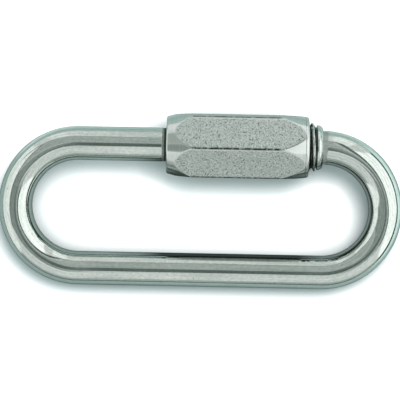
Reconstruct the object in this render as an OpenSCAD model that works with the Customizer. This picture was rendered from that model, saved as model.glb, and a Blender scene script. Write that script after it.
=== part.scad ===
// Chain quick link of the long-opening oval pattern: a round bar bent to an oval,
// closed by a long hexagon sleeve nut that screws across the mouth between its two heads.
// Millimetres. The link lies as it comes to rest on a table, +Z up: on the lowest edge of
// the nut and on the long bar opposite. X runs along the nut, and the origin is at the
// middle of the footprint, on the table.

/* [Bar] */
// Diameter of the round bar
bar_d = 8; // [6:0.5:9]

/* [Oval] */
// Distance between the axes of the two long sides
side_spacing = 30; // [26:0.5:44]
// Straight length between the centres of the two end bends
straight_l = 58; // [54:1:80]

/* [Heads] */
// Outside diameter of the thread on both heads
thread_d = 11.7; // [10.8:0.1:12.2]
// Length of the thread on the left head
left_thread_l = 9.4; // [5:0.2:10.4]
// Length of the thread on the right head
right_thread_l = 7.2; // [5:0.2:9]
// Clear mouth between the end faces of the heads
mouth = 16.8; // [12:0.1:19]
// Bevel of each thread at its free end
thread_bevel = 0.8; // [0.3:0.1:1]
// Bevel of each thread where it runs out
runout_bevel = 0.3; // [0.1:0.1:0.8]
// Diameter of the run-out groove behind each thread
groove_d = 9.6; // [9.2:0.1:10.4]
// Width of the run-out groove
groove_l = 0.4; // [0.3:0.1:1.5]
// Diameter of the collar behind the groove
collar_d = 10.6; // [10.5:0.1:11.5]
// Length of the collar
collar_l = 1.45; // [1.3:0.05:3]
// Rounding of the collar's shoulder, on the side of the bar
shoulder_round = 1.25; // [0.3:0.05:1.25]
// How far the right shoulder stands short of the start of the end bend
shoulder_short = 0.3; // [0.2:0.1:2]

/* [Sleeve nut] */
// Width across the flats
across_flats = 14.5; // [14.2:0.1:18]
// Length of the nut
nut_l = 33.6; // [28:0.2:40]
// Gap all round between the thread and the bore
bore_clearance = 0.1; // [0.05:0.05:0.2]
// Bevel at both mouths of the bore
bore_bevel = 0.4; // [0.2:0.1:0.5]
// Right-hand thread left showing beyond the nut
thread_showing = 1.55; // [0.2:0.05:3]
// Turn of the nut from having an edge straight down
nut_turn = 6.5; // [0:0.5:25]
// How far the left end face lies inside the flats
left_face_inset = 0.55; // [0.1:0.05:0.6]
// Slope of the turned left end where it leaves the end face, in degrees
left_end_slope = 16; // [14:0.2:30]
// How far the right end face lies inside the flats
right_face_inset = 0.15; // [0.1:0.05:0.6]
// Slope of the turned right end where it leaves the end face, in degrees
right_end_slope = 11.4; // [10:0.2:30]
// Radius of the slight crown that the turning leaves on both ends
crown_r = 300; // [280:10:500]

/* [Hidden] */
$fn = 96;

// Steel of the bar, and the duller steel of the nut
bar_colour = [0.76, 0.78, 0.77];
nut_colour = [0.64, 0.67, 0.65];
// Overlap that makes a cut run clean through a face
cut = 0.5;

// Places along the nut's axis
bend_x = straight_l / 2;
head_foot_l = collar_l + groove_l;
right_shoulder_x = bend_x - shoulder_short;
right_thread_end_x = right_shoulder_x - head_foot_l;
right_face_x = right_thread_end_x - right_thread_l;
left_face_x = right_face_x - mouth;
left_shoulder_x = left_face_x - left_thread_l - head_foot_l;
nut_right_x = right_thread_end_x - thread_showing;
nut_left_x = nut_right_x - nut_l;

// Hexagon of the nut: its corner radius and how far its corners reach down and sideways
flat_r = across_flats / 2;
corner_r = flat_r / cos(30);
corner_angles = [for (k = [0:5]) nut_turn - 90 + 60 * k];
nut_drop = max([for (a = corner_angles) -corner_r * sin(a)]);
nut_reach = max([for (a = corner_angles) corner_r * cos(a)]);
bore_d = thread_d + 2 * bore_clearance;
blank_r = corner_r + cut;

// Resting place: the nut's axis stands higher than the long bar, which tilts the oval
tilt = asin((nut_drop - bar_d / 2) / side_spacing);
nut_axis_y = (side_spacing * cos(tilt) + bar_d / 2 - nut_reach) / 2;
nut_axis_z = nut_drop;

// Puts children that lie along X at the nut's axis
module on_nut_axis() {
    translate([0, nut_axis_y, nut_axis_z]) children();
}

// Round bar along +X from x0 to x1
module bar(x0, x1) {
    translate([x0, 0, 0]) rotate([0, 90, 0]) cylinder(d = bar_d, h = x1 - x0);
}

// Half-round end bend that opens towards -X
module end_bend() {
    rotate([0, 0, -90])
        rotate_extrude(angle = 180)
            translate([side_spacing / 2, 0]) circle(d = bar_d);
}

// Half outline of a head, from its shoulder up to its end face
module head_outline(thread_l) {
    collar_r = collar_d / 2;
    thread_r = thread_d / 2;
    // collar with its rounded shoulder
    translate([0, shoulder_round]) square([collar_r, collar_l - shoulder_round]);
    square([collar_r - shoulder_round, collar_l]);
    intersection() {
        translate([collar_r - shoulder_round, shoulder_round]) circle(r = shoulder_round);
        square([collar_r, collar_l]);
    }
    // groove and bevelled thread
    square([groove_d / 2, head_foot_l]);
    translate([0, head_foot_l])
        polygon([
            [0, 0],
            [thread_r - runout_bevel, 0],
            [thread_r, runout_bevel],
            [thread_r, thread_l - thread_bevel],
            [thread_r - thread_bevel, thread_l],
            [0, thread_l]
        ]);
}

// Upset head that points along +X, with its shoulder at the origin
module head(thread_l) {
    rotate([0, 90, 0]) rotate_extrude() head_outline(thread_l);
}

// The bent bar with its two heads, in one piece
module link_body() {
    color(bar_colour)
        on_nut_axis() rotate([tilt, 0, 0]) {
            translate([bend_x, -side_spacing / 2, 0]) end_bend();
            translate([-bend_x, -side_spacing / 2, 0]) mirror([1, 0, 0]) end_bend();
            translate([0, -side_spacing, 0]) bar(-bend_x, bend_x);
            bar(-bend_x, left_shoulder_x + collar_l);
            bar(right_shoulder_x - collar_l, bend_x);
            translate([left_shoulder_x, 0, 0]) head(left_thread_l);
            translate([right_shoulder_x, 0, 0]) mirror([1, 0, 0]) head(right_thread_l);
        }
}

// Half outline of a blank with one turned end, at y = 0: a shallow crowned cone that rises
// from the end face and runs out past the hexagon's corners
module turned_end(face_r, slope) {
    crest_y = crown_r * sin(slope);
    intersection() {
        square([blank_r, nut_l]);
        union() {
            translate([face_r - crown_r * cos(slope), crest_y]) circle(r = crown_r, $fn = 1440);
            translate([0, min(crest_y, nut_l / 2)]) square([blank_r, nut_l]);
        }
    }
}

// Half outline of the turned nut, with both ends
module turned_outline() {
    intersection() {
        turned_end(flat_r - left_face_inset, left_end_slope);
        translate([0, nut_l]) mirror([0, 1]) turned_end(flat_r - right_face_inset, right_end_slope);
    }
}

// Bore right through the nut, bevelled at both mouths
module nut_bore() {
    bevel_r = bore_d / 2 + bore_bevel;
    translate([0, 0, -cut]) cylinder(d = bore_d, h = nut_l + 2 * cut);
    cylinder(r1 = bevel_r, r2 = bore_d / 2, h = bore_bevel);
    translate([0, 0, nut_l - bore_bevel])
        cylinder(r1 = bore_d / 2, r2 = bevel_r, h = bore_bevel);
}

// Long hexagon nut with turned ends
module sleeve_nut() {
    color(nut_colour)
        on_nut_axis()
            translate([nut_left_x, 0, 0])
                rotate([nut_turn, 0, 0]) rotate([0, 90, 0])
                    difference() {
                        intersection() {
                            cylinder(r = corner_r, h = nut_l, $fn = 6);
                            rotate_extrude() turned_outline();
                        }
                        nut_bore();
                    }
}

link_body();
sleeve_nut();
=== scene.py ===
"""Looks of the chain quick link: a bright bent bar with two threaded heads, closed by a
dull hexagon sleeve nut with turned ends. Metres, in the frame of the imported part."""

from math import asin, cos, pi, radians, sin, tan

import bmesh
import bpy
import numpy as np
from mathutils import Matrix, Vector


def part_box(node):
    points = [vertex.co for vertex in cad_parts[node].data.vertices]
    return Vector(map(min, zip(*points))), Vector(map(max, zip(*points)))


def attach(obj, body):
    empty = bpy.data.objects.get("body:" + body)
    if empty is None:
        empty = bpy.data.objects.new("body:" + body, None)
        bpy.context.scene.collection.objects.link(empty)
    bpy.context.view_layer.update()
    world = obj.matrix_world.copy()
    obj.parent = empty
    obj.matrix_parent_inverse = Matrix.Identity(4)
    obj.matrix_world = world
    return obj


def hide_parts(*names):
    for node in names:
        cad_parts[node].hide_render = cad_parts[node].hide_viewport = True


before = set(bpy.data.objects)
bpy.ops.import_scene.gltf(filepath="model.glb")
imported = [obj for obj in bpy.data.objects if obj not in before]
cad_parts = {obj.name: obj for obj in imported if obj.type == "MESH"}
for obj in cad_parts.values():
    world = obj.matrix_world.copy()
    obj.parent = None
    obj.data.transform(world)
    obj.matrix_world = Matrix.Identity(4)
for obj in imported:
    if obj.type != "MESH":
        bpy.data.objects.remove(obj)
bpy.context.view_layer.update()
MM = 0.001

# Sizes of the bar and its heads, as the part has them
BAR_R = 4.0 * MM
SIDE_SPACING = 30.0 * MM
BEND_R = SIDE_SPACING / 2
THREAD_R = 5.85 * MM
THREAD_ROOT_R = 4.93 * MM
THREAD_PITCH = 1.5 * MM
THREAD_BEVEL = 0.8 * MM
RUNOUT_BEVEL = 0.3 * MM
RIGHT_THREAD_L = 7.2 * MM
LEFT_THREAD_L = 9.4 * MM
MOUTH = 16.8 * MM
GROOVE_R = 4.8 * MM
GROOVE_L = 0.4 * MM
COLLAR_R = 5.3 * MM
COLLAR_L = 1.45 * MM
SHOULDER_ROUND = 1.25 * MM
SHOULDER_SHORT = 0.3 * MM
# Neck behind each shoulder: its length, and how far it lies under the bar
NECK_L = 0.95 * MM
NECK_DROP = 0.06 * MM
# Painted shade on the left neck, away from its shoulder and beside it, and where it goes from one to the
# other
NECK_SHADE_SHARES = 0.2, 0.98
NECK_CHANGE = 0.35 * NECK_L, 0.65 * NECK_L
# Depths under the crests between which painted shade darkens the thread's valleys
VALLEY_START = 0.3 * MM
VALLEY_END = 0.75 * MM

# Sizes of the sleeve nut
FLAT_R = 7.25 * MM
NUT_TURN = radians(6.5)
BORE_R = 5.95 * MM
BORE_BEVEL = 0.4 * MM
LEFT_FACE_R = 6.7 * MM
LEFT_END_SLOPE = radians(16.0)
RIGHT_FACE_R = 7.1 * MM
RIGHT_END_SLOPE = radians(11.4)
CROWN_R = 300.0 * MM
THREAD_PLAY = 0.1 * MM
RIM_ROUND = 0.3 * MM
# A fine dark line painted round the right end: its place from the end face, half width and darkness
MARK_PLACE = 0.8 * MM
MARK_HALF = 0.07 * MM
MARK_SHARE = 0.75
# Rounding of the hexagon's edges, and of the lines where the cones cut the flats
EDGE_SOFTNESS = 0.28 * MM
CONE_SOFTNESS = 0.1 * MM
# Step over which the finish of the flats gives way to that of the cones
FINISH_STEP = 0.12 * MM
# Painted dark reflection line and highlight beside each edge of the hexagon: distance from the edge and
# half width
DARK_LINE_PLACE, DARK_LINE_HALF = -0.05 * MM, 0.18 * MM
BRIGHT_LINE_PLACE, BRIGHT_LINE_HALF = 0.32 * MM, 0.11 * MM
# Where a thin line has faded out, in half widths from its middle
LINE_FADE = 1.6

# Places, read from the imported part
NUT_LOW, NUT_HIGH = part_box("sleeve_nut")
LINK_LOW, LINK_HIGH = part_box("link_body")
NUT_L = NUT_HIGH.x - NUT_LOW.x
NUT_AXIS = (NUT_LOW + NUT_HIGH) / 2
TILT = asin((NUT_AXIS.z - LINK_LOW.z - BAR_R) / SIDE_SPACING)
BEND_X = LINK_HIGH.x - BAR_R - BEND_R
HEAD_FOOT_L = COLLAR_L + GROOVE_L
RIGHT_THREAD_END_X = BEND_X - SHOULDER_SHORT - HEAD_FOOT_L
RIGHT_FACE_X = RIGHT_THREAD_END_X - RIGHT_THREAD_L
LEFT_FACE_X = RIGHT_FACE_X - MOUTH
MOUTH_X = (RIGHT_FACE_X + LEFT_FACE_X) / 2
# Where the thread has a crest on its upper line
CREST_SHIFT = 0.4 * MM
CREST_X = RIGHT_THREAD_END_X - CREST_SHIFT


# Node helpers, shared by the geometry trees and the materials

class Nodes:
    """Short calls that add nodes to one tree and join them up."""

    def __init__(self, tree):
        self.tree = tree

    def add(self, kind, **settings):
        node = self.tree.nodes.new(kind)
        for name, value in settings.items():
            setattr(node, name, value)
        return node

    def put(self, socket, value):
        """Joins an output to a socket, or sets the socket to a plain value."""
        if isinstance(value, bpy.types.NodeSocket):
            self.tree.links.new(value, socket)
        else:
            socket.default_value = value

    def math(self, operation, *values):
        node = self.add("ShaderNodeMath", operation=operation)
        for socket, value in zip(node.inputs, values):
            self.put(socket, value)
        return node.outputs[0]

    def vector(self, operation, *values):
        node = self.add("ShaderNodeVectorMath", operation=operation)
        for socket, value in zip(node.inputs, values):
            self.put(socket, value)
        scalar = operation in ("DOT_PRODUCT", "LENGTH", "DISTANCE")
        return node.outputs["Value" if scalar else "Vector"]

    def scaled(self, vector, factor):
        node = self.add("ShaderNodeVectorMath", operation="SCALE")
        self.put(node.inputs[0], vector)
        self.put(node.inputs["Scale"], factor)
        return node.outputs["Vector"]

    def split(self, vector):
        node = self.add("ShaderNodeSeparateXYZ")
        self.put(node.inputs[0], vector)
        return node.outputs

    def join(self, x, y, z):
        node = self.add("ShaderNodeCombineXYZ")
        for socket, value in zip(node.inputs, (x, y, z)):
            self.put(socket, value)
        return node.outputs[0]

    def span(self, value, low, high, to_low=0.0, to_high=1.0, smooth=False):
        """Maps a value from one span to another, held at both ends."""
        node = self.add("ShaderNodeMapRange")
        if smooth:
            node.interpolation_type = "SMOOTHSTEP"
        for socket, v in zip(node.inputs, (value, low, high, to_low, to_high)):
            self.put(socket, v)
        return node.outputs[0]

    def mix(self, factor, first, second):
        """Mixes two colours, whose sockets follow those for numbers and vectors."""
        node = self.add("ShaderNodeMix", data_type="RGBA")
        self.put(node.inputs["Factor"], factor)
        self.put(node.inputs[6], first)
        self.put(node.inputs[7], second)
        return node.outputs[2]

    def noise(self, vector, scale, detail=3.0, roughness=0.5):
        node = self.add("ShaderNodeTexNoise")
        self.put(node.inputs["Vector"], vector)
        node.inputs["Scale"].default_value = scale
        node.inputs["Detail"].default_value = detail
        node.inputs["Roughness"].default_value = roughness
        return node.outputs[0]

    def bump(self, height, strength, distance, normal=None):
        node = self.add("ShaderNodeBump")
        node.inputs["Strength"].default_value = strength
        node.inputs["Distance"].default_value = distance
        self.put(node.inputs["Height"], height)
        if normal is not None:
            self.put(node.inputs["Normal"], normal)
        return node.outputs[0]


def blend(n, share, first, second):
    """Goes from a first number to a second one as the share goes from 0 to 1."""
    node = n.add("ShaderNodeMix", data_type="FLOAT")
    n.put(node.inputs[0], share)
    n.put(node.inputs[2], first)
    n.put(node.inputs[3], second)
    return node.outputs[0]


def between(n, value, low, high, soft):
    """1 between two values and 0 outside them, with soft ends."""
    past_low = n.span(value, low - soft, low + soft)
    return n.math("MULTIPLY", past_low, n.span(value, high + soft, high - soft))


def in_box(n, u, v, sides, soft):
    """1 inside a rectangle given by its left, right, front and back sides, 0 outside, softly."""
    left, right, front, back = sides
    return n.math("MULTIPLY", between(n, u, left, right, soft), between(n, v, front, back, soft))


# Materials

# Colours of the bar: its two tones, its nicks, and the painted shade in the thread's valleys and on the
# left neck
BAR_TONES = (0.68, 0.765, 0.715, 1.0), (0.78, 0.855, 0.8, 1.0)
NICK_COLOUR = (0.3, 0.34, 0.32, 1.0)
VALLEY_SHADE_COLOUR = (0.02, 0.024, 0.022, 1.0)
# Colours of the nut: the tones of its flats and its turned ends, its blotches and specks, and its painted
# edge highlights and dark lines
FLAT_TONES = (0.47, 0.54, 0.502, 1.0), (0.79, 0.87, 0.82, 1.0)
TURNED_TONES = (0.68, 0.75, 0.71, 1.0), (0.76, 0.82, 0.78, 1.0)
BLOTCH_COLOUR = (0.635, 0.697, 0.657, 1.0)
SPECK_COLOUR = (0.1, 0.125, 0.115, 1.0)
PAINTED_HIGHLIGHT_COLOUR = (0.9, 0.96, 0.92, 1.0)
PAINTED_DARK_LINE_COLOUR = (0.02, 0.028, 0.025, 1.0)


def new_material(name):
    material = bpy.data.materials.new(name)
    material.use_nodes = True
    material.node_tree.nodes.clear()
    return material, Nodes(material.node_tree)


def finish_material(n, shader):
    output = n.add("ShaderNodeOutputMaterial")
    n.put(output.inputs["Surface"], shader)


def stored_share(n, name):
    """Number from 0 to 1 that a piece's mesh stores at each point."""
    return n.add("ShaderNodeAttribute", attribute_name=name).outputs["Fac"]


def bright_bar_steel():
    """Polished bar, slightly wavy, with faint drawing lines, cloudiness and nicks, duller heads, and
    painted shade in the thread's valleys and beside the nut.
    """
    material, n = new_material("bright_bar_steel")
    along = n.add("ShaderNodeAttribute", attribute_name="bar_place").outputs["Vector"]
    turned = stored_share(n, "turned_share")
    sunk = stored_share(n, "sunk_share")
    neck = stored_share(n, "neck_share")
    lines = n.noise(n.vector("MULTIPLY", along, (0.02, 1.0, 1.0)), 2200.0, 4.0, 0.6)
    cloud = n.noise(n.vector("MULTIPLY", along, (0.3, 1.0, 1.0)), 240.0, 3.0, 0.55)
    nicks = n.noise(along, 1500.0, 2.0, 0.7)
    grit = n.noise(n.vector("MULTIPLY", along, (0.45, 1.0, 1.0)), 2300.0, 2.0, 0.6)
    waves = n.noise(n.vector("MULTIPLY", along, (0.5, 1.0, 1.0)), 150.0, 1.0, 0.4)
    shader = n.add("ShaderNodeBsdfPrincipled")
    shader.inputs["Metallic"].default_value = 1.0
    tone = n.mix(n.span(cloud, 0.35, 0.65), *BAR_TONES)
    specks = n.span(nicks, 0.64, 0.72, 0.0, 0.5)
    tone = n.mix(specks, tone, NICK_COLOUR)
    tone = n.scaled(tone, n.span(grit, 0.3, 0.7, 0.9, 1.08))
    tone = n.scaled(tone, n.span(lines, 0.34, 0.62, 0.86, 1.05))
    tone = n.scaled(tone, n.span(neck, 0.0, 1.0, 1.0, 0.72))
    # painted shade in the thread's valleys and groove and on the left neck
    tone = n.mix(n.math("MULTIPLY", sunk, 0.93), tone, VALLEY_SHADE_COLOUR)
    n.put(shader.inputs["Base Color"], tone)
    rough = n.span(n.math("ADD", lines, cloud), 0.6, 1.4, 0.05, 0.13)
    dull = n.math("ADD", n.math("MULTIPLY", turned, 0.08), n.math("MULTIPLY", neck, 0.4))
    n.put(shader.inputs["Roughness"], n.math("ADD", rough, dull))
    height = n.math("ADD", n.math("MULTIPLY", lines, 0.6), n.math("MULTIPLY", nicks, 0.15))
    wavy = n.bump(waves, 1.0, 0.05 * MM)
    n.put(shader.inputs["Normal"], n.bump(height, 0.12, 0.02 * MM, wavy))
    finish_material(n, shader.outputs[0])
    return material


def nut_steel():
    """Dull grained and specked flats, polished turned ends, and a painted highlight and dark reflection
    line along each edge, broken up by noise.
    """
    material, n = new_material("nut_steel")
    place = n.add("ShaderNodeTexCoord").outputs["Object"]
    flat = stored_share(n, "flat_share")
    dark_edge = stored_share(n, "dark_edge")
    bright_edge = stored_share(n, "bright_edge")
    grain = n.noise(place, 2900.0, 3.0, 0.6)
    blotch = n.noise(place, 420.0, 3.0, 0.5)
    speck_noise = n.noise(place, 2400.0, 2.0, 0.55)
    specks = n.math("MULTIPLY", n.span(speck_noise, 0.59, 0.66, smooth=True), flat)
    edge_noise = n.noise(place, 1300.0, 2.0, 0.6)
    dark_lines = n.math("MULTIPLY", dark_edge, n.span(edge_noise, 0.38, 0.5, 0.35, 1.0))
    edge_highlight = n.math("MULTIPLY", bright_edge, n.span(edge_noise, 0.36, 0.52, 0.4, 1.0))
    turning = n.noise(n.vector("MULTIPLY", place, (1.0, 0.04, 0.04)), 5200.0, 2.0, 0.5)

    dull = n.mix(n.span(grain, 0.4, 0.6), *FLAT_TONES)
    dull = n.mix(n.span(blotch, 0.35, 0.7, 0.0, 0.35), dull, BLOTCH_COLOUR)
    turned = n.mix(n.span(turning, 0.35, 0.65), *TURNED_TONES)
    tone = n.mix(flat, turned, dull)
    tone = n.mix(n.math("MULTIPLY", specks, 0.8), tone, SPECK_COLOUR)
    # painted highlight and painted dark reflection line beside each edge, and the fine dark line on the
    # right end
    tone = n.mix(n.math("MULTIPLY", edge_highlight, 0.8), tone, PAINTED_HIGHLIGHT_COLOUR)
    tone = n.mix(n.math("MULTIPLY", dark_lines, 0.97), tone, PAINTED_DARK_LINE_COLOUR)

    shader = n.add("ShaderNodeBsdfPrincipled")
    shader.inputs["Metallic"].default_value = 1.0
    n.put(shader.inputs["Base Color"], tone)
    dull_here = n.math("SUBTRACT", flat, n.math("MULTIPLY", edge_highlight, 0.6))
    dull_rough = n.span(grain, 0.3, 0.7, 0.48, 0.6)
    bright_rough = n.span(turning, 0.3, 0.7, 0.14, 0.2)
    rough = n.math("ADD", n.math("MULTIPLY", dull_rough, dull_here),
                   n.math("MULTIPLY", bright_rough, n.math("SUBTRACT", 1.0, dull_here)))
    n.put(shader.inputs["Roughness"], rough)
    pitted = n.math("SUBTRACT", grain, n.math("MULTIPLY", specks, 1.2))
    height = n.math("ADD", n.math("MULTIPLY", pitted, flat), n.math("MULTIPLY", turning, 0.02))
    n.put(shader.inputs["Normal"], n.bump(height, 0.35, 0.06 * MM))
    finish_material(n, shader.outputs[0])
    return material


def pale_floor():
    """Pale table that glows to the camera and fades into corners, and is shaded in reflections."""
    material, n = new_material("pale_floor")
    path = n.add("ShaderNodeLightPath").outputs
    plain = path["Is Camera Ray"]
    seen = n.math("MAXIMUM", plain, path["Is Transmission Ray"])
    seen = n.math("MAXIMUM", seen, n.math("MULTIPLY", path["Is Glossy Ray"], FLOOR_MIRRORED))
    shades = []
    for reach, power in ((CORNER_REACH, CORNER_POWER), (SHADE_REACH, SHADE_POWER)):
        open_share = n.add("ShaderNodeAmbientOcclusion")
        open_share.inputs["Distance"].default_value = reach
        shades.append(n.math("POWER", open_share.outputs["AO"], power))
    corner, shade = shades
    x, y, _ = n.split(n.add("ShaderNodeTexCoord").outputs["Object"])
    for zone, soft, share in TABLE_ZONES:
        inside = in_box(n, x, y, [side * MM for side in zone], soft * MM)
        shade = n.math("MULTIPLY", shade, n.span(inside, 0.0, 1.0, 1.0, share))
    mirrored = n.scaled(MIRRORED_COLOUR, shade)
    diffuse = n.add("ShaderNodeBsdfDiffuse")
    lit = n.scaled(n.mix(corner, FLOOR_COLOUR, OPEN_COLOUR), corner)
    n.put(diffuse.inputs["Color"], n.mix(plain, mirrored, lit))
    glow = n.add("ShaderNodeEmission")
    n.put(glow.inputs["Color"], n.mix(corner, FLOOR_TINT, OPEN_TINT))
    n.put(glow.inputs["Strength"], n.math("MULTIPLY", n.math("MULTIPLY", seen, FLOOR_GLOW), corner))
    both = n.add("ShaderNodeAddShader")
    n.put(both.inputs[0], diffuse.outputs[0])
    n.put(both.inputs[1], glow.outputs[0])
    finish_material(n, both.outputs[0])
    return material


# The bar: a path in the tilted plane of the oval, swept and dressed by a geometry tree

# Distance between rings on the heads, and on the straights; turn between rings in a bend
HEAD_STEP = 0.1 * MM
STRAIGHT_STEP = 4.0 * MM
BEND_STEP = radians(3.0)
# Lengths of the fine stretches from the end faces, and sides of the swept bar
RIGHT_FINE_L = 10.4 * MM
LEFT_FINE_L = 12.6 * MM
BAR_SIDES = 128
# Angle past which two faces of the bar meet in a sharp edge
BAR_SHARP_ANGLE = radians(40)


def in_plane(x, down):
    """Point of the oval's plane, by its place along the nut and its distance below the nut's axis."""
    return Vector((x, NUT_AXIS.y - down * cos(TILT), NUT_AXIS.z - down * sin(TILT)))


def stops(start, end, step):
    """Evenly spaced values from start up to, but not including, end."""
    count = max(1, round(abs(end - start) / step))
    return [start + (end - start) * i / count for i in range(count)]


def bar_path():
    """Points along the bar's centre line, from the right head's end face round to the left one's."""
    left_fine_x = LEFT_FACE_X - LEFT_FINE_L
    points = [in_plane(x, 0.0) for x in stops(RIGHT_FACE_X, BEND_X, HEAD_STEP)]
    fine_turn = (RIGHT_FACE_X + RIGHT_FINE_L - BEND_X) / BEND_R
    turns = stops(0.0, fine_turn, HEAD_STEP / BEND_R) + stops(fine_turn, pi, BEND_STEP)
    points += [in_plane(BEND_X + BEND_R * sin(a), BEND_R * (1 - cos(a))) for a in turns]
    points += [in_plane(x, SIDE_SPACING) for x in stops(BEND_X, -BEND_X, STRAIGHT_STEP)]
    points += [in_plane(-BEND_X - BEND_R * sin(a), BEND_R * (1 + cos(a)))
               for a in stops(0.0, pi, BEND_STEP)]
    points += [in_plane(x, 0.0) for x in stops(-BEND_X, left_fine_x, STRAIGHT_STEP)]
    points += [in_plane(x, 0.0) for x in stops(left_fine_x, LEFT_FACE_X, HEAD_STEP)]
    points.append(in_plane(LEFT_FACE_X, 0.0))
    return points


def thread_radius(n, x, angle, crest, root, pitch):
    """Radius of a helical 60-degree thread at a distance from a crest on top and an angle from there."""
    turn = n.math("SUBTRACT", n.math("DIVIDE", x, pitch), n.math("DIVIDE", angle, 2 * pi))
    saw = n.math("FRACT", n.math("ADD", turn, 0.5))
    rise = n.math("SUBTRACT", 0.5, n.math("ABSOLUTE", n.math("SUBTRACT", saw, 0.5)))
    flank = n.math("MULTIPLY", n.math("MULTIPLY", rise, pitch), 2 * cos(radians(30)))
    middle = n.math("MULTIPLY", n.math("ADD", crest, root), 0.5)
    half_v = n.math("MULTIPLY", pitch, cos(radians(30)) / 2)
    radius = n.math("ADD", n.math("SUBTRACT", middle, half_v), flank)
    return n.math("MINIMUM", crest, n.math("MAXIMUM", root, radius))


BAR_INPUTS = {
    "Bar radius": BAR_R,
    "Thread crest radius": THREAD_R,
    "Thread root radius": THREAD_ROOT_R,
    "Thread pitch": THREAD_PITCH,
    "Thread bevel": THREAD_BEVEL,
    "Run-out bevel": RUNOUT_BEVEL,
    "Crest place": CREST_X,
    "Right thread length": RIGHT_THREAD_L,
    "Left thread length": LEFT_THREAD_L,
    "Groove radius": GROOVE_R,
    "Groove length": GROOVE_L,
    "Collar radius": COLLAR_R,
    "Collar length": COLLAR_L,
    "Shoulder round": SHOULDER_ROUND,
    "Neck length": NECK_L,
    "Neck drop": NECK_DROP,
    "Mouth place": MOUTH_X,
}


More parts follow.
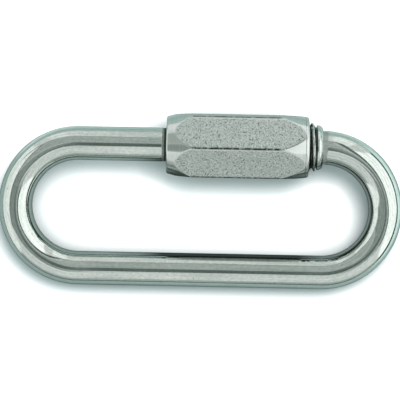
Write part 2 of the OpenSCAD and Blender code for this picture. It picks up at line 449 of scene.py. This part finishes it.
def bar_tree(material):
    """Geometry tree that sweeps the bar along its path and gives both ends their threaded heads."""
    tree = bpy.data.node_groups.new("bar_sweep", "GeometryNodeTree")
    face = tree.interface
    face.new_socket("Path", in_out="INPUT", socket_type="NodeSocketGeometry")
    face.new_socket("Bar", in_out="OUTPUT", socket_type="NodeSocketGeometry")
    for name, value in BAR_INPUTS.items():
        face.new_socket(name, in_out="INPUT", socket_type="NodeSocketFloat").default_value = value
    n = Nodes(tree)
    given = n.add("NodeGroupInput").outputs

    line = n.add("GeometryNodeMeshToCurve")
    n.put(line.inputs["Mesh"], given["Path"])
    noted = n.add("GeometryNodeCaptureAttribute", domain="POINT")
    for kind, name in (("VECTOR", "Centre"), ("VECTOR", "Tangent"), ("FLOAT", "Run"), ("FLOAT", "Whole")):
        noted.capture_items.new(kind, name)
    n.put(noted.inputs["Geometry"], line.outputs[0])
    n.put(noted.inputs["Centre"], n.add("GeometryNodeInputPosition").outputs[0])
    n.put(noted.inputs["Tangent"], n.add("GeometryNodeInputTangent").outputs[0])
    n.put(noted.inputs["Run"], n.add("GeometryNodeSplineParameter").outputs["Length"])
    n.put(noted.inputs["Whole"], n.add("GeometryNodeSplineLength").outputs["Length"])
    ring = n.add("GeometryNodeCurvePrimitiveCircle", mode="RADIUS")
    ring.inputs["Resolution"].default_value = BAR_SIDES
    n.put(ring.inputs["Radius"], given["Bar radius"])
    swept = n.add("GeometryNodeCurveToMesh")
    n.put(swept.inputs["Curve"], noted.outputs["Geometry"])
    n.put(swept.inputs["Profile Curve"], ring.outputs["Curve"])
    swept.inputs["Fill Caps"].default_value = True

    centre = noted.outputs["Centre"]
    run = noted.outputs["Run"]
    place = n.add("GeometryNodeInputPosition").outputs[0]
    out = n.vector("NORMALIZE", n.vector("SUBTRACT", place, centre))
    x = n.split(centre)["X"]
    sides = n.split(out)
    from_top = n.math("ARCTAN2", n.math("MULTIPLY", sides["Y"], -1.0), sides["Z"])
    from_end = n.math("MINIMUM", run, n.math("SUBTRACT", noted.outputs["Whole"], run))
    is_right = n.math("GREATER_THAN", x, given["Mouth place"])
    extra = n.math("SUBTRACT", given["Right thread length"], given["Left thread length"])
    thread_l = n.math("ADD", given["Left thread length"], n.math("MULTIPLY", extra, is_right))

    # thread, bevelled at both ends and absent past its length
    thread = thread_radius(n, n.math("SUBTRACT", x, given["Crest place"]), from_top,
                           given["Thread crest radius"], given["Thread root radius"], given["Thread pitch"])
    to_thread_end = n.math("SUBTRACT", thread_l, from_end)
    for bevel, distance in (("Thread bevel", from_end), ("Run-out bevel", to_thread_end)):
        foot = n.math("SUBTRACT", given["Thread crest radius"], given[bevel])
        thread = n.math("MINIMUM", thread, n.math("ADD", foot, distance))
    thread = n.math("MULTIPLY", thread, n.math("GREATER_THAN", to_thread_end, 0.0))
    # groove and round-shouldered collar
    foot_l = n.math("ADD", given["Groove length"], given["Collar length"])
    to_shoulder = n.math("ADD", to_thread_end, foot_l)
    on_head = n.math("GREATER_THAN", to_shoulder, 0.0)
    groove = n.math("MULTIPLY", given["Groove radius"], on_head)
    on_collar = n.math("MULTIPLY", on_head, n.math("LESS_THAN", to_shoulder, given["Collar length"]))
    drop = n.math("MAXIMUM", n.math("SUBTRACT", given["Shoulder round"], to_shoulder), 0.0)
    round_sq = n.math("MULTIPLY", given["Shoulder round"], given["Shoulder round"])
    height = n.math("SQRT", n.math("SUBTRACT", round_sq, n.math("MULTIPLY", drop, drop)))
    collar = n.math("ADD", n.math("SUBTRACT", given["Collar radius"], given["Shoulder round"]), height)
    collar = n.math("MULTIPLY", collar, on_collar)
    groove = n.math("MULTIPLY", groove, n.math("SUBTRACT", 1.0, on_collar))

    # slightly sunk turned neck behind the shoulder
    past_neck = n.math("ADD", to_shoulder, given["Neck length"])
    turned = n.math("GREATER_THAN", past_neck, 0.0)
    on_neck = n.math("SUBTRACT", turned, on_head)
    neck = n.math("SUBTRACT", given["Bar radius"], n.math("MULTIPLY", given["Neck drop"], on_neck))

    radius = n.math("MAXIMUM", n.math("MAXIMUM", neck, thread), n.math("MAXIMUM", groove, collar))
    # painted shade in the valleys of the thread and the groove
    depth = n.math("SUBTRACT", given["Thread crest radius"], radius)
    sunk = n.span(depth, VALLEY_START, VALLEY_END)
    sunk = n.math("MULTIPLY", sunk, n.math("GREATER_THAN", to_shoulder, given["Collar length"]))
    sunk = n.math("MULTIPLY", sunk, n.math("GREATER_THAN", from_end, given["Thread bevel"]))
    # painted shade on the neck beside the nut, the open one is only dull
    shaded_neck = n.math("MULTIPLY", on_neck, n.math("SUBTRACT", 1.0, is_right))
    neck_shade = n.span(past_neck, *NECK_CHANGE, *NECK_SHADE_SHARES)
    sunk = n.math("MAXIMUM", sunk, n.math("MULTIPLY", shaded_neck, neck_shade))

    moved = n.add("GeometryNodeSetPosition")
    n.put(moved.inputs["Geometry"], swept.outputs[0])
    n.put(moved.inputs["Position"], n.vector("ADD", centre, n.scaled(out, radius)))

    # place along and round the bar, for the drawing lines
    plane_up = (0.0, -sin(TILT), cos(TILT))
    across = n.vector("CROSS_PRODUCT", plane_up, noted.outputs["Tangent"])
    unrolled = n.join(run, n.math("MULTIPLY", n.vector("DOT_PRODUCT", out, plane_up), radius),
                      n.math("MULTIPLY", n.vector("DOT_PRODUCT", out, across), radius))
    shape = moved.outputs[0]
    noted_values = (
        ("bar_place", "FLOAT_VECTOR", unrolled),
        ("turned_share", "FLOAT", turned),
        ("sunk_share", "FLOAT", sunk),
        ("neck_share", "FLOAT", on_neck),
    )
    for name, kind, value in noted_values:
        stored = n.add("GeometryNodeStoreNamedAttribute", data_type=kind, domain="POINT")
        stored.inputs["Name"].default_value = name
        n.put(stored.inputs["Geometry"], shape)
        n.put(stored.inputs["Value"], value)
        shape = stored.outputs[0]
    real = n.add("GeometryNodeRealizeInstances")
    n.put(real.inputs[0], shape)
    dressed = n.add("GeometryNodeSetMaterial")
    n.put(dressed.inputs["Geometry"], real.outputs[0])
    dressed.inputs["Material"].default_value = material
    n.put(n.add("NodeGroupOutput").inputs[0], dressed.outputs[0])
    return tree


def object_from_mesh(name, mesh):
    made = bpy.data.objects.new(name, mesh)
    bpy.context.scene.collection.objects.link(made)
    return made


def plain_mesh(name, source, tree):
    """Runs a geometry tree on a source mesh and returns its result as a plain mesh object."""
    holder = object_from_mesh(name + "_source", source)
    modifier = holder.modifiers.new("tree", "NODES")
    modifier.node_group = tree
    seen = holder.evaluated_get(bpy.context.evaluated_depsgraph_get())
    mesh = bpy.data.meshes.new_from_object(seen)
    mesh.name = name
    holder.modifiers.remove(modifier)
    bpy.data.objects.remove(holder)
    return object_from_mesh(name, mesh)


def smooth_between(mesh, sharp_angle):
    """Smooth shading, broken where two faces meet at more than the given angle."""
    mesh.polygons.foreach_set("use_smooth", [True] * len(mesh.polygons))
    mesh.set_sharp_from_angle(angle=sharp_angle)


def make_bar(material):
    points = bar_path()
    path = bpy.data.meshes.new("bar_path")
    path.from_pydata(points, [(i, i + 1) for i in range(len(points) - 1)], [])
    bar = plain_mesh("threaded_bar", path, bar_tree(material))
    smooth_between(bar.data, BAR_SHARP_ANGLE)
    return bar


# The sleeve nut: one closed skin of rings, from the left rim over the outside, through the
# bore and back to the left rim

# Columns on each flat, crowded towards the hexagon's edges
FLAT_COLUMNS = 44
# Distance between rings on the cones, along the middle and on the bore's thread
CONE_STEP = 0.13 * MM
MIDDLE_STEP = 2.0 * MM
BORE_STEP = 0.125 * MM
# Length of cone to ring finely at each end, and of thread at the right end of the bore
CONE_REACH = 7.6 * MM
BORE_THREAD_L = 6.0 * MM
# Half of the short step from the plain bore to its thread
THREAD_STEP_HALF = 0.02 * MM
# Places of the rings round each rim, and the angle past which two faces meet in a sharp edge
RIM_ANGLES = (radians(0), radians(22), radians(45), radians(68))
NUT_SHARP_ANGLE = radians(35)


def soft_min(a, b, softness):
    """Smaller of two values, with the crossing rounded over."""
    near = np.maximum(softness - np.abs(a - b), 0.0) / softness
    return np.minimum(a, b) - near ** 3 * softness / 6


def column_angles():
    """Angles round the nut, from its lowest edge, crowded towards the six edges."""
    u = np.arange(FLAT_COLUMNS) / FLAT_COLUMNS * 2 - 1
    within = radians(30) * (1.5 * u - 0.5 * u ** 3)
    return np.concatenate([radians(30) + radians(60) * k + within for k in range(6)])


def hexagon_radius(angles):
    """Radius of the hexagon at each angle, its edges rounded over."""
    off_flat = np.abs((angles % radians(60)) - radians(30))
    return soft_min(FLAT_R / np.cos(off_flat), FLAT_R / np.cos(radians(60) - off_flat), EDGE_SOFTNESS)


def crowned_end(from_face, face_r, slope):
    """Radius of one turned end, a cone with a slight crown, at a distance from its end face."""
    return face_r - CROWN_R * cos(slope) + np.sqrt(CROWN_R ** 2 - (CROWN_R * sin(slope) - from_face) ** 2)


def cone_radius(x):
    """Radius of the turned ends at a place along the nut, with both rims rounded."""
    left = crowned_end(x, LEFT_FACE_R, LEFT_END_SLOPE)
    right = crowned_end(NUT_L - x, RIGHT_FACE_R, RIGHT_END_SLOPE)
    from_rim = np.minimum(np.minimum(x, NUT_L - x), RIM_ROUND)
    rim_drop = RIM_ROUND - np.sqrt(RIM_ROUND ** 2 - (RIM_ROUND - from_rim) ** 2)
    return np.minimum(left, right) - rim_drop


def bore_radius(x, angles):
    """Radius of the bore: plain to clear the left collar, and threaded at its right end."""
    axis_angle = angles - pi / 2 + NUT_TURN
    turn = (x + NUT_LOW.x - CREST_X) / THREAD_PITCH - (axis_angle - pi / 2) / (2 * pi) + 0.5
    rise = 0.5 - np.abs(turn % 1.0 - 0.5)
    middle = (THREAD_R + THREAD_ROOT_R) / 2
    radius = middle + (2 * rise - 0.5) * THREAD_PITCH * cos(radians(30))
    thread = np.clip(radius, THREAD_ROOT_R, THREAD_R) + THREAD_PLAY
    wall = thread if NUT_L - x < BORE_THREAD_L else np.full_like(angles, BORE_R)
    bevel = BORE_R + BORE_BEVEL - min(x, NUT_L - x)
    return np.maximum(wall, bevel)


def nut_rings(angles):
    """Rings of the nut as (places along it, radii, share of flat at each point)."""
    hexagon = hexagon_radius(angles)
    rings = []
    rim = [RIM_ROUND * (1 - cos(angle)) for angle in RIM_ANGLES]
    middle_start, middle_end = CONE_REACH, NUT_L - CONE_REACH
    outside = rim + stops(RIM_ROUND, middle_start, CONE_STEP)
    outside += stops(middle_start, middle_end, MIDDLE_STEP)
    outside += stops(middle_end, NUT_L - RIM_ROUND, CONE_STEP)
    outside += [NUT_L - x for x in reversed(rim)]
    for x in outside:
        cone = cone_radius(np.full_like(angles, x))
        share = np.clip((cone - hexagon) / FINISH_STEP, 0.0, 1.0)
        rings.append((x, soft_min(hexagon, cone, CONE_SOFTNESS), share))
    bare = np.zeros_like(angles)
    inner = BORE_R + BORE_BEVEL
    rings += [(NUT_L, np.full_like(angles, r), bare)
              for r in stops(RIGHT_FACE_R - RIM_ROUND, inner, CONE_STEP)[1:]]
    plain_end = NUT_L - BORE_THREAD_L - THREAD_STEP_HALF
    inside = [0.0] + stops(BORE_BEVEL, plain_end, MIDDLE_STEP) + [plain_end]
    inside += stops(plain_end + 2 * THREAD_STEP_HALF, NUT_L, BORE_STEP) + [NUT_L]
    rings += [(x, bore_radius(x, angles), bare) for x in reversed(inside)]
    rings += [(0.0, np.full_like(angles, r), bare)
              for r in reversed(stops(LEFT_FACE_R - RIM_ROUND, inner, CONE_STEP)[1:])]
    return rings


def line_share(distance, half_width):
    """1 on a thin line and 0 away from it, at a distance from its middle."""
    return np.clip(LINE_FADE - np.abs(distance) / half_width, 0.0, 1.0)


def make_nut(material):
    angles = column_angles()
    rings = nut_rings(angles)
    axis_angle = angles - pi / 2 + NUT_TURN
    columns = len(angles)
    points = np.concatenate([
        np.column_stack([
            np.full(columns, NUT_LOW.x + x),
            NUT_AXIS.y + radii * np.cos(axis_angle),
            NUT_AXIS.z + radii * np.sin(axis_angle),
        ])
        for x, radii, _ in rings
    ])
    faces = []
    for i in range(len(rings)):
        low, high = i * columns, (i + 1) % len(rings) * columns
        for j in range(columns):
            k = (j + 1) % columns
            faces.append((low + j, low + k, high + k, high + j))
    mesh = bpy.data.meshes.new("hexagon_sleeve_nut")
    mesh.from_pydata(points.tolist(), [], faces)
    flat_share = np.concatenate([share for _, _, share in rings])
    outside = np.concatenate([radii for _, radii, _ in rings]) > RIGHT_FACE_R
    from_edge = ((angles + radians(30)) % radians(60) - radians(30)) * FLAT_R
    # painted dark reflection line and highlight beside each edge of the hexagon
    dark_edge = line_share(from_edge - DARK_LINE_PLACE, DARK_LINE_HALF)
    bright_edge = line_share(from_edge - BRIGHT_LINE_PLACE, BRIGHT_LINE_HALF)
    from_mark = np.repeat([NUT_L - x - MARK_PLACE for x, _, _ in rings], columns)
    mark = line_share(from_mark, MARK_HALF) * (1.0 - flat_share) * outside
    shares = {
        "flat_share": flat_share,
        "dark_edge": np.maximum(flat_share * np.tile(dark_edge, len(rings)), MARK_SHARE * mark),
        "bright_edge": flat_share * np.tile(bright_edge, len(rings)),
    }
    for name, values in shares.items():
        mesh.attributes.new(name, "FLOAT", "POINT").data.foreach_set("value", values)
    work = bmesh.new()
    work.from_mesh(mesh)
    bmesh.ops.recalc_face_normals(work, faces=work.faces)
    work.to_mesh(mesh)
    work.free()
    smooth_between(mesh, NUT_SHARP_ANGLE)
    mesh.materials.append(material)
    return object_from_mesh("hexagon_sleeve_nut", mesh)


# Stage: floor, light and camera

FLOOR_HALF = 1.5
# The table's lit colour in corners and in the open, and the dimmer one that reflections see,
# shaded round the object
FLOOR_COLOUR = (0.66, 0.93, 0.92, 1.0)
OPEN_COLOUR = (0.81, 0.93, 0.93, 1.0)
MIRRORED_COLOUR = (0.169, 0.25, 0.243)
SHADE_REACH, SHADE_POWER = 35.0 * MM, 1.8
# Zones of painted shade and painted light on the table, which reflections see: left, right, front and back
# sides and softness in millimetres, and share of the colour
TABLE_ZONES = (
    ((-12.0, 27.0, -14.0, 7.0), 3.0, 0.16),          # between the nut and the long bar
    ((-50.0, -20.0, -18.0, 12.0), 4.0, 1.35),        # inside the left bow
    ((33.0, 50.0, -18.0, 12.0), 3.0, 1.35),          # inside the right bow
    ((60.0, 400.0, -70.0, 60.0), 5.0, 1.9),          # outside the right bow
    ((-400.0, 400.0, -400.0, -62.0), 12.0, 0.3),     # far in front
    ((-60.0, 60.0, 18.0, 30.0), 5.0, 1.8),           # close behind
)
# Its glow to the camera, tinted in corners, the share of that in reflections, and how
# corners are darkened
FLOOR_TINT = (0.72, 1.0, 1.0, 1.0)
OPEN_TINT = (0.95, 1.0, 1.0, 1.0)
FLOOR_GLOW = 0.39
FLOOR_MIRRORED = 0.05
CORNER_REACH, CORNER_POWER = 9.0 * MM, 1.35
# Where the photograph has the middle of the oval, in its 400 by 400 pixels
PHOTO_SIZE = 400
OVAL_MIDDLE_PX = (200.35, 207.9)
MM_PER_PX = 0.2381
# How far the link lies turned in the picture, and the lens
ROLL = radians(1.15)
LENS = 180.0
SENSOR = 36.0
# Lamp that casts the shadow, which reflections don't see
KEY_PLACE = (0.16, 0.27, 0.58)
KEY_SIZE = 0.5
KEY_POWER = 9.6
KEY_COLOUR = (1.0, 0.77, 0.78)


def level_sheet(name, sides, height, material):
    """Level rectangle of the stage, given by its left, right, front and back sides."""
    left, right, front, back = sides
    corners = [(left, front), (right, front), (right, back), (left, back)]
    mesh = bpy.data.meshes.new(name)
    mesh.from_pydata([(x, y, height) for x, y in corners], [], [(0, 1, 2, 3)])
    mesh.materials.append(material)
    sheet = object_from_mesh(name, mesh)
    return sheet


def make_floor():
    level_sheet("floor", (-FLOOR_HALF, FLOOR_HALF, -FLOOR_HALF, FLOOR_HALF), 0.0, pale_floor())


# The studio: four walls, and panels overhead painted in this order. Each has its reach from
# straight up, in degrees towards -X, +X, -Y and +Y, and its level
CEILING_LEVEL = 0.44
PANELS = (
    ((7.0, 7.0, 19.5, 5.0), 0.135),         # dark slot along the long sides
    ((-7.0, 22.0, 26.0, 42.0), 0.064),      # dark slot on the right
    ((60.0, 20.0, -40.0, 47.0), 0.336),     # dim slot at the back
    ((60.0, -52.0, 30.0, 44.0), 0.16),      # dim slot on the left
    ((56.0, 10.5, -3.0, 44.0), CEILING_LEVEL),
    ((56.0, -4.5, 30.0, 2.0), 0.304),       # dimmer front parts of the ceiling
    ((-4.5, 10.5, 19.0, 2.0), 0.304),
    ((-10.5, 15.0, 26.0, 40.0), 0.64),      # bright rim on the right
)
LEFT_WALL, RIGHT_WALL, FRONT_WALL, BACK_WALL = 0.98, 1.24, 0.76, 0.73
# Brighter stretches of the back wall: sideways reach, as a share of the distance, and level
BACK_LIGHTS = ((-0.6, -0.28, 0.86), (0.2, 0.6, 1.02))
# Heights over the table, in degrees, at which two of the walls begin, and the levels under them
RIGHT_FOOT, FRONT_FOOT = 9.0, 15.0
RIGHT_GAP_LEVEL, FRONT_GAP_LEVEL = 0.05, 0.45
# Panels close by on the left: nearest and furthest place towards -X, and level
SIDE_PANELS = (
    ("left_border", 124.0 * MM, 135.0 * MM, 0.14),
    ("left_panel", 135.0 * MM, 260.0 * MM, 1.02),
)
SIDE_FRONT, SIDE_BACK, SIDE_HEIGHT = -70.0 * MM, 110.0 * MM, 126.0 * MM
# Tint of the dimmest parts, which fades out up to this level
DIM_TINT = (0.84, 1.04, 0.97, 1.0)
TINTED_UP_TO = 0.64
# Softness of the sides of the panels overhead, the walls and the back wall's lit stretches
PANEL_SOFTNESS, WALL_SOFTNESS, LIT_SOFTNESS = 0.03, 0.02, 0.04
# Least height or depth of a direction to divide by
LEAST_SHARE = 0.02


def overhead(n, u, v, reach):
    """1 inside a panel overhead and 0 outside it, with slightly soft sides."""
    left, right, front, back = [tan(radians(angle)) for angle in reach]
    return in_box(n, u, v, (-left, right, -front, back), PANEL_SOFTNESS)


def below(n, z, foot):
    """1 under the foot of a wall and 0 over it."""
    height = sin(radians(foot))
    return n.span(z, height + WALL_SOFTNESS, height - WALL_SOFTNESS)


def studio_level(n, way):
    """Brightness of the studio in a direction."""
    x, y, z = n.split(way)
    to_right = n.math("GREATER_THAN", x, 0.0)
    to_back = n.math("GREATER_THAN", y, 0.0)
    right_wall = blend(n, below(n, z, RIGHT_FOOT), RIGHT_WALL, RIGHT_GAP_LEVEL)
    front_wall = blend(n, below(n, z, FRONT_FOOT), FRONT_WALL, FRONT_GAP_LEVEL)
    side_walls = blend(n, to_right, LEFT_WALL, right_wall)
    back_wall = BACK_WALL
    slant = n.math("DIVIDE", x, n.math("MAXIMUM", y, LEAST_SHARE))
    for left, right, lit_level in BACK_LIGHTS:
        back_wall = blend(n, between(n, slant, left, right, LIT_SOFTNESS), back_wall, lit_level)
    end_walls = blend(n, to_back, front_wall, back_wall)
    sideways = n.math("SUBTRACT", n.math("ABSOLUTE", x), n.math("ABSOLUTE", y))
    level = blend(n, n.span(sideways, -WALL_SOFTNESS, WALL_SOFTNESS), end_walls, side_walls)
    above = n.math("MAXIMUM", z, LEAST_SHARE)
    u = n.math("DIVIDE", x, above)
    v = n.math("DIVIDE", y, above)
    for reach, panel_level in PANELS:
        level = blend(n, overhead(n, u, v, reach), level, panel_level)
    return level


def make_world():
    world = bpy.data.worlds.new("studio")
    world.use_nodes = True
    world.node_tree.nodes.clear()
    n = Nodes(world.node_tree)
    way = n.add("ShaderNodeTexCoord").outputs["Generated"]
    path = n.add("ShaderNodeLightPath").outputs
    seen = n.math("MAXIMUM", path["Is Camera Ray"], path["Is Transmission Ray"])
    level = blend(n, seen, studio_level(n, way), 1.0)
    light = n.add("ShaderNodeBackground")
    n.put(light.inputs["Strength"], level)
    n.put(light.inputs["Color"], n.mix(n.span(level, 0.0, TINTED_UP_TO), DIM_TINT, (1.0, 1.0, 1.0, 1.0)))
    output = n.add("ShaderNodeOutputWorld")
    n.put(output.inputs["Surface"], light.outputs[0])
    bpy.context.scene.world = world


def make_side_panels():
    """Lit panel close by on the left and its dark border, which only reflections see."""
    for name, near, far, level in SIDE_PANELS:
        material, n = new_material(name)
        glow = n.add("ShaderNodeEmission")
        glow.inputs["Strength"].default_value = level
        finish_material(n, glow.outputs[0])
        panel = level_sheet(name, (-far, -near, SIDE_FRONT, SIDE_BACK), SIDE_HEIGHT, material)
        panel.visible_camera = False
        panel.visible_diffuse = False
        panel.visible_shadow = False


def make_key_lamp():
    data = bpy.data.lights.new("key", "AREA")
    data.shape = "DISK"
    data.size = KEY_SIZE
    data.energy = KEY_POWER
    data.color = KEY_COLOUR
    lamp = bpy.data.objects.new("key", data)
    lamp.location = KEY_PLACE
    lamp.rotation_euler = (-Vector(KEY_PLACE)).to_track_quat("-Z", "Y").to_euler()
    lamp.visible_glossy = False
    bpy.context.scene.collection.objects.link(lamp)


def make_camera():
    data = bpy.data.cameras.new("camera")
    data.lens = LENS
    data.sensor_width = SENSOR
    camera = bpy.data.objects.new("camera", data)
    middle = in_plane(0.0, SIDE_SPACING / 2)
    per_px = MM_PER_PX * MM
    right = (PHOTO_SIZE / 2 - OVAL_MIDDLE_PX[0]) * per_px
    up = (OVAL_MIDDLE_PX[1] - PHOTO_SIZE / 2) * per_px
    height = PHOTO_SIZE * per_px * LENS / SENSOR
    camera.location = (
        middle.x + right * cos(ROLL) - up * sin(ROLL),
        middle.y + right * sin(ROLL) + up * cos(ROLL),
        middle.z + height,
    )
    camera.rotation_euler = (0.0, 0.0, ROLL)
    bpy.context.scene.collection.objects.link(camera)
    bpy.context.scene.camera = camera


make_camera()
make_floor()
make_world()
make_side_panels()
make_key_lamp()

bar = make_bar(bright_bar_steel())
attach(bar, "link")
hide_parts("link_body")

nut = make_nut(nut_steel())
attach(nut, "nut")
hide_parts("sleeve_nut")

bpy.context.scene.view_settings.view_transform = "Standard"
